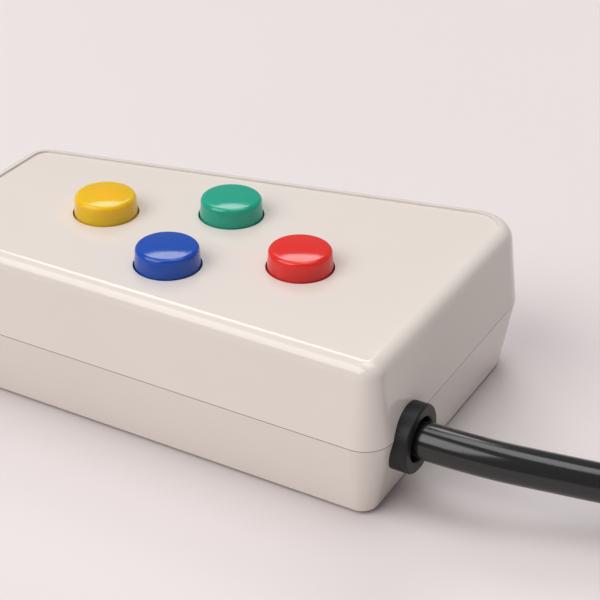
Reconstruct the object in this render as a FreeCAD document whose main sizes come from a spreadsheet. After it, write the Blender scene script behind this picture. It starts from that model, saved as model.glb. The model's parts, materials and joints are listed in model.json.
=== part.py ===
import FreeCAD, Part
import math
import os
import Sketcher

# A counter-top feedback terminal: a moulded two-half case on four rubber feet, four round
# push buttons in a rhombus on its recessed label area, a board hung under the top with four
# tact switches, and one cable that leaves the wide end through a rubber grommet.
# Millimetres. X runs along the case toward the cable end, the front wall faces -Y, Z is up.
# The origin is at the middle of the case on the surface it stands on.

doc = FreeCAD.newDocument("feedback_terminal")

# Driving sizes. Every other size in this file is worked out from them.
SIZES = {
    # case, its outline taken at the parting line
    "case_length": 106.0,
    "case_width": 68.3,
    "back_slant": 12.7,
    "front_corner": 5.5,
    "back_left_corner": 7.5,
    "back_right_corner": 10.0,
    "upper_height": 15.9,
    "lower_height": 14.65,
    "upper_draft": 1.95,
    "lower_draft": 2.3,
    "rim_round": 2.8,
    "base_round": 0.6,
    "wall": 2.0,
    "top_wall": 2.0,
    "floor_wall": 2.0,
    "label_margin": 4.6,
    "label_depth": 0.4,
    "lip_height": 1.5,
    "lip_thickness": 0.9,
    "lip_gap": 0.1,
    "rib_thickness": 1.2,
    "rib_height": 3.0,
    # rubber feet
    "foot_stand": 0.7,
    "foot_sink": 0.5,
    "foot_diameter": 8.0,
    "foot_gap": 0.15,
    "foot_inset": 8.0,
    "foot_round": 0.3,
    # case screws and the bosses they join
    "screw_reach": 35.0,
    "screw_edge": 6.9,
    "boss_diameter": 6.4,
    "boss_base_diameter": 9.0,
    "boss_base_roof": 1.5,
    "boss_gap": 0.1,
    "screw_diameter": 2.9,
    "screw_clearance": 0.25,
    "screw_length": 19.0,
    "screw_head_diameter": 5.6,
    "screw_head_height": 2.0,
    "counterbore_diameter": 6.2,
    "counterbore_depth": 3.2,
    "thread_gap": 0.03,
    "drive_width": 1.7,
    "drive_depth": 1.1,
    "drive_slot": 0.5,
    "head_round_share": 0.25,
    "tip_chamfer_share": 0.2,
    # push buttons
    "button_centre_x": 0.6,
    "button_from_front": 27.6,
    "button_reach_x": 21.75,
    "button_reach_y": 11.45,
    "button_hole": 13.0,
    "cap_diameter": 12.4,
    "cap_top_diameter": 11.9,
    "cap_proud": 4.2,
    "cap_skirt": 3.2,
    "cap_crown": 0.4,
    "cap_round": 0.9,
    "cap_wall": 1.1,
    "socket_wall": 1.2,
    "socket_gap": 0.03,
    "sleeve_depth": 1.9,
    "collar_wall": 1.5,
    "collar_height": 1.2,
    # circuit board and its screws
    "board_depth": 7.8,
    "board_length": 60.0,
    "board_width": 39.0,
    "board_thickness": 1.6,
    "board_corner": 1.5,
    "board_from_front": 27.1,
    "board_screw_inset": 3.5,
    "pillar_diameter": 5.4,
    "board_screw_diameter": 2.0,
    "board_hole_gap": 0.2,
    "board_screw_length": 6.2,
    "board_screw_head": 3.8,
    "board_screw_head_height": 1.3,
    "board_drive_width": 1.2,
    "board_drive_depth": 0.75,
    "board_drive_slot": 0.4,
    # tact switches
    "switch_side": 12.0,
    "switch_base_height": 3.2,
    "switch_corner": 0.8,
    "well_diameter": 7.6,
    "well_floor": 1.0,
    "cover_thickness": 0.3,
    "cover_margin": 0.25,
    "cover_hole": 5.8,
    "peg_diameter": 1.5,
    "peg_inset": 1.7,
    "peg_height": 0.55,
    "peg_gap": 0.05,
    "plunger_disc": 6.9,
    "plunger_disc_height": 1.0,
    "plunger_neck": 5.2,
    "plunger_neck_rise": 0.55,
    "plunger_stem": 3.8,
    "plunger_top": 7.3,
    "plunger_gap": 0.1,
    "dome_diameter": 7.0,
    "dome_height": 0.9,
    "dome_thickness": 0.1,
    "lead_spread": 12.5,
    "lead_pitch": 5.0,
    "lead_width": 0.9,
    "lead_thickness": 0.4,
    "lead_proud": 0.8,
    "lead_hole": 1.3,
    # parts on the underside of the board
    "chip_length": 8.7,
    "chip_width": 3.9,
    "chip_height": 1.5,
    "chip_x": -8.0,
    "chip_from_front": 30.4,
    "chip_chamfer": 0.3,
    "chip_lead_count": 7.0,
    "chip_lead_pitch": 1.27,
    "chip_lead_width": 0.42,
    "chip_lead_thickness": 0.22,
    "chip_lead_reach": 1.05,
    "crystal_length": 11.2,
    "crystal_width": 4.6,
    "crystal_height": 3.5,
    "crystal_rim": 0.45,
    "crystal_x": -16.5,
    "crystal_from_front": 40.9,
    "chip_part_length": 2.0,
    "chip_part_width": 1.25,
    "end_cap_length": 0.4,
    "end_cap_proud": 0.03,
    "capacitor_height": 1.1,
    "resistor_height": 0.5,
    "chip_part_pitch": 4.0,
    "capacitor_x": -21.5,
    "capacitor_from_front": 18.4,
    "capacitor_count": 4.0,
    "resistor_count": 3.0,
    "resistor_x": 3.0,
    "resistor_from_front": 26.4,
    # wire header, its plug and the four inner wires
    "header_x": 18.5,
    "header_from_front": 15.4,
    "header_length": 12.6,
    "header_width": 5.8,
    "header_height": 7.0,
    "header_wall": 0.8,
    "latch_from_middle": 3.15,
    "latch_slot_width": 0.8,
    "latch_slot_height": 3.5,
    "latch_gap": 0.1,
    "header_floor": 1.0,
    "pin_pitch": 2.5,
    "pin_side": 0.64,
    "pin_length": 9.5,
    "pin_proud": 2.9,
    "pin_hole": 1.1,
    "plug_gap": 0.1,
    "plug_hang": 1.5,
    "wire_diameter": 1.1,
    "wire_spread": 0.95,
    "wire_bend": 3.0,
    "wire_lead_out": 5.0,
    "wire_rise": 5.0,
    # cable, its grommet and the tie that stops it being pulled out
    "cable_diameter": 7.0,
    "cable_from_front": 12.05,
    "cable_below_parting": 2.4,
    "cable_start": 3.0,
    "cable_inner_length": 9.0,
    "cable_run_out": 15.0,
    "grommet_hole": 9.6,
    "grommet_neck_gap": 0.05,
    "grommet_bore": 8.4,
    "grommet_flange": 12.9,
    "grommet_proud": 2.6,
    "grommet_round": 0.5,
    "grommet_inner_flange": 11.6,
    "grommet_inner_thickness": 2.2,
    "grommet_into_wall": 1.6,
    "grip_width": 2.6,
    "grip_thickness": 1.2,
    "grip_gap": 0.05,
    "grip_head": 4.6,
    "grip_head_width": 3.9,
    "grip_setback": 4.0,
    # cable coil put away on the surface beside the case
    "coil_heading": -28.0,
    "coil_run_in": 12.0,
    "coil_entry_x": 132.0,
    "coil_entry_y": -19.7,
    "coil_lead_in": 2.0,
    "coil_outer_radius": 44.6,
    "coil_gap": 0.6,
    "coil_half_turns": 4.0,
    "coil_last_turn": 60.0,
    "coil_lead_out": 7.0,
    "coil_lift": 0.9,
    "tie_thickness": 0.6,
    "tie_gap": 0.25,
    "tie_width": 9.0,
    "tie_bend": 1.9,
    # plug at the end of the cable
    "hood_length": 26.0,
    "hood_width": 15.8,
    "hood_height": 8.2,
    "hood_round": 2.4,
    "hood_nose": 9.0,
    "hood_neck": 9.0,
    "hood_neck_round": 3.7,
    "shell_width": 12.0,
    "shell_height": 4.5,
    "shell_length": 18.6,
    "shell_sink": 6.7,
    "shell_wall": 0.3,
    "shell_window": 2.1,
    "shell_window_pitch": 4.4,
    "shell_window_from_tip": 6.2,
    "tongue_thickness": 1.9,
    "tongue_length": 16.8,
    "tongue_gap": 0.02,
    "contact_count": 4.0,
    "contact_pitch": 2.25,
    "contact_width": 1.0,
    "contact_length": 7.4,
    "contact_thickness": 0.2,
    "contact_setback": 0.7,
}

sheet = doc.addObject("Spreadsheet::Sheet", "Sizes")
for row, (alias, value) in enumerate(SIZES.items(), start=1):
    sheet.set("A%d" % row, alias)
    sheet.set("B%d" % row, str(value))
    sheet.setAlias("B%d" % row, alias)
doc.recompute()


def ref(text):
    """Turn a formula in plain size names into one that reads the sheet."""
    words = []
    word = ""
    for letter in text + " ":
        if letter.isalnum() or letter == "_":
            word += letter
            continue
        words.append("Sizes." + word if word in SIZES else word)
        words.append(letter)
        word = ""
    return "".join(words).strip()


def size(text):
    """The present value of a formula, as a plain number."""
    value = sheet.evalExpression(ref(text))
    return float(getattr(value, "Value", value))


# Heights, as formulas of the sheet
PARTING = "(foot_stand + lower_height)"
RIM_TOP = "(%s + upper_height)" % PARTING
LABEL = "(%s - label_depth)" % RIM_TOP
CEILING = "(%s - top_wall)" % LABEL
FLOOR = "(foot_stand + floor_wall)"
BOARD_TOP = "(%s - board_depth)" % LABEL
BOARD_BOTTOM = "(%s - board_thickness)" % BOARD_TOP
SWITCH_COVER = "(%s + switch_base_height)" % BOARD_TOP
CABLE_Z = "(%s - cable_below_parting)" % PARTING
SCREW_SEAT = "(foot_stand + counterbore_depth)"
COIL_PITCH = "(cable_diameter + coil_gap)"
# how closely two directions agree, and how near two ends are, to count as one
ALIGNED = 0.99
TOUCHING = 1e-6
# points measured along the cord for each of its widths, and the widths left between two of them
POINTS_PER_WIDTH = 3
WIDTHS_APART = 2
# places across the case are measured from the front wall's line at the parting
BUTTON_Y = "(button_from_front - case_width / 2)"
BOARD_Y = "(board_from_front - case_width / 2)"
CHIP_Y = "(chip_from_front - case_width / 2)"
CRYSTAL_Y = "(crystal_from_front - case_width / 2)"
CAPACITOR_Y = "(capacitor_from_front - case_width / 2)"
RESISTOR_Y = "(resistor_from_front - case_width / 2)"
HEADER_Y = "(header_from_front - case_width / 2)"
CABLE_Y = "(cable_from_front - case_width / 2)"

# The back wall runs aslant: its rise per length, the stretch that an inset gains on it and
# how far its sharp corner would stand behind the rounded one
BACK_SLOPE = "tan(back_slant)"
BACK_STRETCH = "(1 / cos(back_slant))"
BACK_OVERRUN = "(back_right_corner * (%s + %s - 1))" % (BACK_STRETCH, BACK_SLOPE)

# Both halves narrow away from the parting line
UPPER_TAPER = "-atan(upper_draft / upper_height)"
LOWER_TAPER = "-atan(lower_draft / lower_height)"

# Places in plan
BUTTONS = {
    "yellow": ("(button_centre_x - button_reach_x)", BUTTON_Y),
    "blue": ("button_centre_x", "(%s - button_reach_y)" % BUTTON_Y),
    "green": ("button_centre_x", "(%s + button_reach_y)" % BUTTON_Y),
    "red": ("(button_centre_x + button_reach_x)", BUTTON_Y),
}


def back_wall(x_text):
    """The parting outline's back edge at a place along the case."""
    return "(case_width / 2 + %s - (case_length / 2 - (%s)) * %s)" % (BACK_OVERRUN, x_text, BACK_SLOPE)


CASE_SCREWS = [
    ("(%s)" % x, y)
    for x in ("-screw_reach", "screw_reach")
    for y in ("(screw_edge - case_width / 2)", "(%s - screw_edge * %s)" % (back_wall(x), BACK_STRETCH))
]
FEET = [
    ("(%s)" % x, y)
    for x in ("foot_inset - case_length / 2", "case_length / 2 - foot_inset")
    for y in ("(foot_inset - case_width / 2)", "(%s - foot_inset * %s)" % (back_wall(x), BACK_STRETCH))
]
BOARD_SCREWS = [
    ("(button_centre_x + %d * (board_length / 2 - board_screw_inset))" % side_x,
     "(%s + %d * (board_width / 2 - board_screw_inset))" % (BOARD_Y, side_y))
    for side_x in (-1, 1)
    for side_y in (-1, 1)
]


# Helpers that build bodies, sketches and features

def new_body(name):
    body = doc.addObject("PartDesign::Body", name)
    body.Label = name
    if hasattr(body, "AllowCompound"):
        body.AllowCompound = True
    return body


def new_sketch(body, name, role="XY_Plane", offset="0"):
    sketch = body.newObject("Sketcher::SketchObject", name)
    plane = [item for item in body.Origin.OriginFeatures if item.Role == role][0]
    sketch.AttachmentSupport = [(plane, "")]
    sketch.MapMode = "FlatFace"
    sketch.setExpression("AttachmentOffset.Base.z", ref(offset))
    return sketch


def drive(sketch, kind, *where, formula):
    """Add one dimension to a sketch and bind it to a formula."""
    index = sketch.addConstraint(Sketcher.Constraint(kind, *where, size(formula)))
    label = "size%d" % index
    sketch.renameConstraint(index, label)
    sketch.setExpression("Constraints." + label, ref(formula))


def pin_point(sketch, edge, end, point):
    drive(sketch, "DistanceX", -1, 1, edge, end, formula=point[0])
    drive(sketch, "DistanceY", -1, 1, edge, end, formula=point[1])


def polygon(sketch, points, construction=False):
    """A closed outline of straight edges, each corner held by two formulas."""
    places = [FreeCAD.Vector(size(x), size(y), 0) for x, y in points]
    first = sketch.GeometryCount
    count = len(points)
    for index in range(count):
        line = Part.LineSegment(places[index], places[(index + 1) % count])
        sketch.addGeometry(line, construction)
    for index in range(count):
        edge = first + index
        sketch.addConstraint(Sketcher.Constraint("Coincident", edge, 2, first + (index + 1) % count, 1))
        pin_point(sketch, edge, 1, points[index])
    return first


def rectangle(sketch, x, y, width, depth):
    left = "%s - (%s) / 2" % (x, width)
    right = "%s + (%s) / 2" % (x, width)
    low = "%s - (%s) / 2" % (y, depth)
    high = "%s + (%s) / 2" % (y, depth)
    polygon(sketch, [(left, low), (right, low), (right, high), (left, high)])


def circle(sketch, point, diameter):
    centre = FreeCAD.Vector(size(point[0]), size(point[1]), 0)
    edge = sketch.addGeometry(Part.Circle(centre, FreeCAD.Vector(0, 0, 1), size(diameter) / 2))
    drive(sketch, "Diameter", edge, formula=diameter)
    pin_point(sketch, edge, 3, point)


def rounded_polygon(sketch, points, radii):
    """A closed outline whose corners are rounded, drawn on a sharp construction outline."""
    guide = polygon(sketch, points, construction=True)
    places = [FreeCAD.Vector(size(x), size(y), 0) for x, y in points]
    count = len(points)
    arcs = []
    for index in range(count):
        corner = places[index]
        before = (places[index - 1] - corner).normalize()
        after = (places[(index + 1) % count] - corner).normalize()
        half = before.getAngle(after) / 2
        radius = size(radii[index])
        middle = (before + after).normalize()
        centre = corner + middle * (radius / math.sin(half))
        start = corner + before * (radius / math.tan(half))
        end = corner + after * (radius / math.tan(half))
        arc = Part.Arc(start, centre - middle * radius, end)
        arcs.append((arc, start, end))
    first = sketch.GeometryCount
    for index in range(count):
        line = Part.LineSegment(arcs[index][2], arcs[(index + 1) % count][1])
        sketch.addGeometry(line)
    for arc, start, end in arcs:
        sketch.addGeometry(arc)
    for index in range(count):
        line = first + index
        arc = first + count + (index + 1) % count
        own_arc = first + count + index
        sketch.addConstraint(Sketcher.Constraint("PointOnObject", line, 1, guide + index))
        sketch.addConstraint(Sketcher.Constraint("PointOnObject", line, 2, guide + index))
        sketch.addConstraint(Sketcher.Constraint("Tangent", line, 2, arc, 1))
        sketch.addConstraint(Sketcher.Constraint("Tangent", own_arc, 2, line, 1))
    for index in range(count):
        drive(sketch, "Radius", first + count + index, formula=radii[index])


def case_outline(sketch, inset):
    """The case's plan, drawn in from the parting outline by an inset."""
    left = "(%s - case_length / 2)" % inset
    right = "(case_length / 2 - (%s))" % inset
    front = "(%s - case_width / 2)" % inset
    corners = [(left, front), (right, front)]
    corners += [(x, "%s - (%s) * %s" % (back_wall(x), inset, BACK_STRETCH)) for x in (right, left)]
    names = ("front_corner", "front_corner", "back_right_corner", "back_left_corner")
    rounded_polygon(sketch, corners, ["(%s - (%s))" % (name, inset) for name in names])


def pad(body, name, sketch, length, down=False, taper="0"):
    feature = body.newObject("PartDesign::Pad", name)
    feature.Profile = sketch
    feature.Reversed = down
    feature.setExpression("Length", ref(length))
    feature.setExpression("TaperAngle", ref(taper))
    sketch.Visibility = False
    doc.recompute()
    return feature


def pocket(body, name, sketch, depth, up=False, taper="0"):
    """Cut down from the sketch, or up from it."""
    before = body.Shape.Volume
    feature = body.newObject("PartDesign::Pocket", name)
    feature.Profile = sketch
    feature.Reversed = up
    feature.setExpression("Length", ref(depth))
    feature.setExpression("TaperAngle", ref(taper))
    sketch.Visibility = False
    doc.recompute()
    if body.Shape.Volume >= before:
        raise RuntimeError(name + " cut nothing")
    return feature


def loft(body, name, sections):
    feature = body.newObject("PartDesign::AdditiveLoft", name)
    feature.Profile = sections[0]
    feature.Sections = sections[1:]
    feature.Ruled = True
    for section in sections:
        section.Visibility = False
    doc.recompute()
    return feature


def revolve(body, name, sketch, axis="V_Axis"):
    feature = body.newObject("PartDesign::Revolution", name)
    feature.Profile = sketch
    feature.ReferenceAxis = (sketch, [axis])
    feature.Angle = 360.0
    sketch.Visibility = False
    doc.recompute()
    return feature


def dress(body, name, kind, wanted, amount):
    """Round or chamfer the edges of the body's last feature that a test picks."""
    base = body.Tip
    edges = ["Edge%d" % (i + 1) for i, edge in enumerate(base.Shape.Edges) if wanted(edge)]
    if not edges:
        raise RuntimeError(name + " found no edge")
    feature = body.newObject("PartDesign::" + kind, name)
    feature.Base = (base, edges)
    amount_name = "Radius" if kind == "Fillet" else "Size"
    feature.setExpression(amount_name, ref(amount))
    doc.recompute()
    return feature


def level(edge, height, slack=1e-4):
    """True for an edge that lies at one height."""
    box = edge.BoundBox
    return abs(box.ZMin - height) < slack and abs(box.ZMax - height) < slack


def place(thing, x="0", y="0", z="0"):
    for axis, formula in zip("xyz", (x, y, z)):
        thing.setExpression("Placement.Base." + axis, ref(formula))


nodes = {}


# Case: the two moulded halves

def make_top_shell():
    body = new_body("top_shell")
    outline = new_sketch(body, "top_outline", offset=PARTING)
    case_outline(outline, "0")
    pad(body, "top_block", outline, "upper_height", taper=UPPER_TAPER)
    dress(body, "top_rim", "Fillet", lambda edge: level(edge, size(RIM_TOP)), "rim_round")

    label = new_sketch(body, "label_area", offset=RIM_TOP)
    case_outline(label, "label_margin")
    pocket(body, "label_recess", label, "label_depth")

    mouth = new_sketch(body, "top_cavity_mouth", offset=PARTING)
    case_outline(mouth, "wall")
    pocket(body, "top_cavity", mouth, "%s - %s" % (CEILING, PARTING), up=True, taper=UPPER_TAPER)

    rebate = new_sketch(body, "top_rebate", offset=PARTING)
    case_outline(rebate, "(wall - lip_thickness - lip_gap)")
    pocket(body, "top_rebate_cut", rebate, "lip_height + lip_gap", up=True)

    root = "top_wall / 4"
    collars = new_sketch(body, "collars", offset="%s + %s" % (CEILING, root))
    for spot in BUTTONS.values():
        circle(collars, spot, "button_hole + 2 * collar_wall")
    pad(body, "collar_rings", collars, "collar_height + %s" % root, down=True)

    pillars = new_sketch(body, "pillars", offset="%s + %s" % (CEILING, root))
    for spot in BOARD_SCREWS:
        circle(pillars, spot, "pillar_diameter")
    pad(body, "board_pillars", pillars, "%s - %s + %s" % (CEILING, BOARD_TOP, root), down=True)

    bosses = new_sketch(body, "bosses", offset="%s + %s" % (CEILING, root))
    for spot in CASE_SCREWS:
        circle(bosses, spot, "boss_diameter")
    pad(body, "screw_bosses", bosses, "%s - %s - boss_gap + %s" % (CEILING, PARTING, root), down=True)

    holes = new_sketch(body, "button_holes", offset=RIM_TOP)
    for spot in BUTTONS.values():
        circle(holes, spot, "button_hole")
    pocket(body, "button_hole_cut", holes, "label_depth + top_wall + 2 * collar_height")

    pilots = new_sketch(body, "boss_pilots", offset=PARTING)
    for spot in CASE_SCREWS:
        circle(pilots, spot, "screw_diameter + 2 * thread_gap")
    depth = "(%s + screw_length - %s + 2 * boss_gap)" % (SCREW_SEAT, PARTING)
    pocket(body, "boss_pilot_cut", pilots, depth, up=True)

    small = new_sketch(body, "pillar_pilots", offset=BOARD_TOP)
    for spot in BOARD_SCREWS:
        circle(small, spot, "board_screw_diameter + 2 * thread_gap")
    depth = "board_screw_length - board_thickness + 2 * boss_gap"
    pocket(body, "pillar_pilot_cut", small, depth, up=True)

    cut_cable_hole(body)
    nodes["top_shell"] = body


def cut_cable_hole(body):
    """The round hole for the grommet, bored through the end wall across the parting line."""
    hole = new_sketch(body, body.Name + "_cable_hole", role="YZ_Plane", offset="case_length / 2")
    circle(hole, (CABLE_Y, CABLE_Z), "grommet_hole")
    pocket(body, body.Name + "_cable_cut", hole, "wall + lower_draft + upper_draft")


def make_bottom_shell():
    body = new_body("bottom_shell")
    outline = new_sketch(body, "bottom_outline", offset=PARTING)
    case_outline(outline, "0")
    pad(body, "bottom_block", outline, "lower_height", down=True, taper=LOWER_TAPER)
    dress(body, "bottom_edge", "Fillet", lambda edge: level(edge, size("foot_stand")), "base_round")

    mouth = new_sketch(body, "bottom_cavity_mouth", offset=PARTING)
    case_outline(mouth, "wall")
    pocket(body, "bottom_cavity", mouth, "%s - %s" % (PARTING, FLOOR), taper=LOWER_TAPER)

    # the lip stands on the inner half of the wall and is rooted a little into it
    lip = new_sketch(body, "lip_ring", offset="%s - lip_height" % PARTING)
    case_outline(lip, "(wall - lip_thickness)")
    case_outline(lip, "wall")
    pad(body, "lip", lip, "2 * lip_height")

    # each screw column is wide round its counterbore and slimmer above it
    root = "floor_wall / 4"
    for name, diameter, head in (("wide", "boss_base_diameter", "%s + boss_base_roof" % SCREW_SEAT),
                                 ("slim", "boss_diameter", PARTING)):
        columns = new_sketch(body, "columns_" + name, offset="%s - %s" % (FLOOR, root))
        for spot in CASE_SCREWS:
            circle(columns, spot, diameter)
        pad(body, "screw_columns_" + name, columns, "%s - %s + %s" % (head, FLOOR, root))

    ribs = new_sketch(body, "ribs", offset="%s - %s" % (FLOOR, root))
    for low, high in (CASE_SCREWS[0:2], CASE_SCREWS[2:4]):
        middle = "((%s) + (%s)) / 2" % (low[1], high[1])
        rectangle(ribs, low[0], middle, "rib_thickness", "(%s) - (%s)" % (high[1], low[1]))
    pad(body, "floor_ribs", ribs, "rib_height + %s" % root)

    through = new_sketch(body, "screw_holes", offset="foot_stand")
    for spot in CASE_SCREWS:
        circle(through, spot, "screw_diameter + 2 * screw_clearance")
    pocket(body, "screw_hole_cut", through, "lower_height + lip_height", up=True)
    bores = new_sketch(body, "counterbores", offset="foot_stand")
    for spot in CASE_SCREWS:
        circle(bores, spot, "counterbore_diameter")
    pocket(body, "counterbore_cut", bores, "counterbore_depth", up=True)

    seats = new_sketch(body, "foot_seats", offset="foot_stand")
    for spot in FEET:
        circle(seats, spot, "foot_diameter + 2 * foot_gap")
    pocket(body, "foot_seat_cut", seats, "foot_sink", up=True)

    cut_cable_hole(body)
    nodes["bottom_shell"] = body


def make_feet():
    body = new_body("rubber_feet")
    discs = new_sketch(body, "foot_discs")
    for spot in FEET:
        circle(discs, spot, "foot_diameter")
    pad(body, "foot_pads", discs, "foot_stand + foot_sink")
    dress(body, "foot_edges", "Fillet", lambda edge: level(edge, 0.0), "foot_round")
    nodes["rubber_feet"] = body


def make_screws(name, spots, seat, head, head_height, shank, length, drive_width, drive_depth, drive_slot):
    """A set of pan head screws driven upward, with a cross recess in each head."""
    body = new_body(name)
    heads = new_sketch(body, name + "_heads", offset=seat)
    for spot in spots:
        circle(heads, spot, head)
    pad(body, name + "_head_pads", heads, head_height, down=True)
    low = size(seat) - size(head_height)
    dress(body, name + "_head_round", "Fillet", lambda edge: level(edge, low),
          head_height + " * head_round_share")
    # the shank starts inside the head, so that the two are one solid
    sink = "%s * head_round_share" % head_height
    shanks = new_sketch(body, name + "_shanks", offset="%s - %s" % (seat, sink))
    for spot in spots:
        circle(shanks, spot, shank)
    pad(body, name + "_shank_pads", shanks, "%s + %s" % (length, sink))
    tip = size(seat) + size(length)
    dress(body, name + "_tips", "Chamfer", lambda edge: level(edge, tip), shank + " * tip_chamfer_share")
    for suffix, width, depth in (("a", drive_width, drive_slot), ("b", drive_slot, drive_width)):
        slots = new_sketch(body, name + "_drive_" + suffix, offset="%s - %s" % (seat, head_height))
        for spot in spots:
            rectangle(slots, spot[0], spot[1], "2 * (%s)" % width if width == drive_width else width,
                      "2 * (%s)" % depth if depth == drive_width else depth)
        pocket(body, name + "_drive_cut_" + suffix, slots, drive_depth, up=True)
    nodes[name] = body


# Push buttons: one cap on one switch plunger each

def make_cap(colour, spot):
    """A hollow round cap with a crowned top and a square socket for the switch stem."""
    name = "button_cap_" + colour
    body = new_body(name)
    # heights inside the body are measured from the label surface
    top = "cap_proud"
    low = "-cap_skirt"
    shoulder = "(cap_proud - cap_crown)"
    inner_top = "(%s - cap_wall)" % shoulder
    stem_top = "(plunger_top - board_depth)"
    profile = new_sketch(body, name + "_profile", role="XZ_Plane")
    half = "cap_diameter / 2"
    half_top = "cap_top_diameter / 2"
    points = [("0", inner_top), ("0", top), (half_top, shoulder), (half, "0"), (half, low),
              ("%s - cap_wall" % half, low), ("%s - cap_wall" % half_top, inner_top)]
    crown_radius = "(%s * %s + cap_crown * cap_crown) / (2 * cap_crown)" % (half_top, half_top)
    crown_outline(profile, points, crown_radius)
    revolve(body, name + "_turned", profile)
    height = size(shoulder)
    dress(body, name + "_edge", "Fillet", lambda edge: level(edge, height, 1e-3), "cap_round")

    hollow = "(plunger_stem + 2 * socket_gap)"
    sleeve = new_sketch(body, name + "_sleeve", offset="-sleeve_depth")
    circle(sleeve, ("0", "0"), "sqrt(2) * %s + 2 * socket_wall" % hollow)
    pad(body, name + "_sleeve_pad", sleeve, "%s + sleeve_depth + cap_wall / 2" % inner_top)
    square = new_sketch(body, name + "_square", offset="-cap_skirt")
    rectangle(square, "0", "0", hollow, hollow)
    pocket(body, name + "_square_cut", square, "cap_skirt + (%s) + socket_gap" % stem_top, up=True)
    place(body, spot[0], spot[1], LABEL)
    nodes[name] = body


def crown_outline(sketch, points, radius):
    """A closed half profile whose second edge is an arc with its centre on the axis."""
    places = [FreeCAD.Vector(size(x), size(y), 0) for x, y in points]
    count = len(points)
    bend = size(radius)
    centre = FreeCAD.Vector(0, places[1].y - bend, 0)
    spread = math.atan2(places[2].x, places[2].y - centre.y)
    mid = centre + FreeCAD.Vector(bend * math.sin(spread / 2), bend * math.cos(spread / 2), 0)
    for index in range(count):
        start = places[index]
        end = places[(index + 1) % count]
        if index == 1:
            sketch.addGeometry(Part.Arc(start, mid, end))
        else:
            sketch.addGeometry(Part.LineSegment(start, end))
    # an arc that runs clockwise is stored the other way round, so its ends are looked up
    arc_start, arc_end = (1, 2) if sketch.getPoint(1, 1).distanceToPoint(places[1]) < TOUCHING else (2, 1)
    ends = {index: (1, 2) for index in range(count)}
    ends[1] = (arc_start, arc_end)
    for index in range(count):
        after = (index + 1) % count
        meeting = Sketcher.Constraint("Coincident", index, ends[index][1], after, ends[after][0])
        sketch.addConstraint(meeting)
        pin_point(sketch, after, ends[after][0], points[after])
    drive(sketch, "Radius", 1, formula=radius)


def make_switch(colour, spot):
    base = new_body("switch_base_" + colour)
    block = new_sketch(base, "base_block_" + colour)
    rectangle(block, "0", "0", "switch_side", "switch_side")
    pad(base, "base_pad_" + colour, block, "switch_base_height")
    dress(base, "base_corners_" + colour, "Fillet",
          lambda edge: edge.BoundBox.ZLength > size("switch_base_height") / 2, "switch_corner")
    pegs = new_sketch(base, "pegs_" + colour, offset="switch_base_height / 2")
    reach = "(switch_side / 2 - peg_inset)"
    for side_x in (-1, 1):
        for side_y in (-1, 1):
            circle(pegs, ("%d * %s" % (side_x, reach), "%d * %s" % (side_y, reach)), "peg_diameter")
    pad(base, "peg_pads_" + colour, pegs, "switch_base_height / 2 + peg_height")
    well = new_sketch(base, "well_" + colour, offset="switch_base_height")
    circle(well, ("0", "0"), "well_diameter")
    pocket(base, "well_cut_" + colour, well, "switch_base_height - well_floor")
    place(base, spot[0], spot[1], BOARD_TOP)
    nodes[base.Label] = base

    cover = new_body("switch_cover_" + colour)
    plate = new_sketch(cover, "plate_" + colour)
    rectangle(plate, "0", "0", "switch_side - 2 * cover_margin", "switch_side - 2 * cover_margin")
    for side_x in (-1, 1):
        for side_y in (-1, 1):
            circle(plate, ("%d * %s" % (side_x, reach), "%d * %s" % (side_y, reach)),
                   "peg_diameter + 2 * peg_gap")
    circle(plate, ("0", "0"), "cover_hole")
    pad(cover, "plate_pad_" + colour, plate, "cover_thickness")
    place(cover, spot[0], spot[1], SWITCH_COVER)
    nodes[cover.Label] = cover

    plunger = new_body("switch_plunger_" + colour)
    top_of_disc = "(switch_base_height - plunger_gap)"
    neck_top = "(switch_base_height + cover_thickness + plunger_neck_rise)"
    disc = new_sketch(plunger, "disc_" + colour, offset="%s - plunger_disc_height" % top_of_disc)
    circle(disc, ("0", "0"), "plunger_disc")
    pad(plunger, "disc_pad_" + colour, disc, "plunger_disc_height")
    neck = new_sketch(plunger, "neck_" + colour, offset="%s - plunger_disc_height / 2" % top_of_disc)
    circle(neck, ("0", "0"), "plunger_neck")
    pad(plunger, "neck_pad_" + colour, neck, "%s - %s + plunger_disc_height / 2" % (neck_top, top_of_disc))
    stem = new_sketch(plunger, "stem_" + colour, offset="%s - plunger_neck_rise" % neck_top)
    rectangle(stem, "0", "0", "plunger_stem", "plunger_stem")
    pad(plunger, "stem_pad_" + colour, stem, "plunger_top - %s + plunger_neck_rise" % neck_top)
    place(plunger, spot[0], spot[1], BOARD_TOP)
    nodes[plunger.Label] = plunger

    dome = new_body("switch_dome_" + colour)
    profile = new_sketch(dome, "dome_profile_" + colour, role="XZ_Plane")
    half = "(dome_diameter / 2)"
    bend = "((%s * %s + dome_height * dome_height) / (2 * dome_height))" % (half, half)
    points = [("0", "dome_height - dome_thickness"), ("0", "dome_height"), (half, "0"),
              ("%s - 4 * dome_thickness" % half, "0")]
    crown_outline(profile, points, bend)
    revolve(dome, "dome_turned_" + colour, profile)
    place(dome, spot[0], spot[1], "%s + well_floor" % BOARD_TOP)
    nodes[dome.Label] = dome


def lead_spots():
    for spot in BUTTONS.values():
        for side_x in (-1, 1):
            for side_y in (-1, 1):
                yield ("%s + %d * lead_spread / 2" % (spot[0], side_x),
                       "%s + %d * lead_pitch / 2" % (spot[1], side_y))


def make_switch_leads():
    """Sixteen flat leads that run beside the switch bases and down through the board."""
    body = new_body("switch_leads")
    strips = new_sketch(body, "lead_strips", offset="%s - lead_proud" % BOARD_BOTTOM)
    for spot in lead_spots():
        rectangle(strips, spot[0], spot[1], "lead_thickness", "lead_width")
    pad(body, "lead_pads", strips, "board_thickness + lead_proud + switch_base_height / 2")
    nodes["switch_leads"] = body


# Circuit board and the parts on its underside

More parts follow.
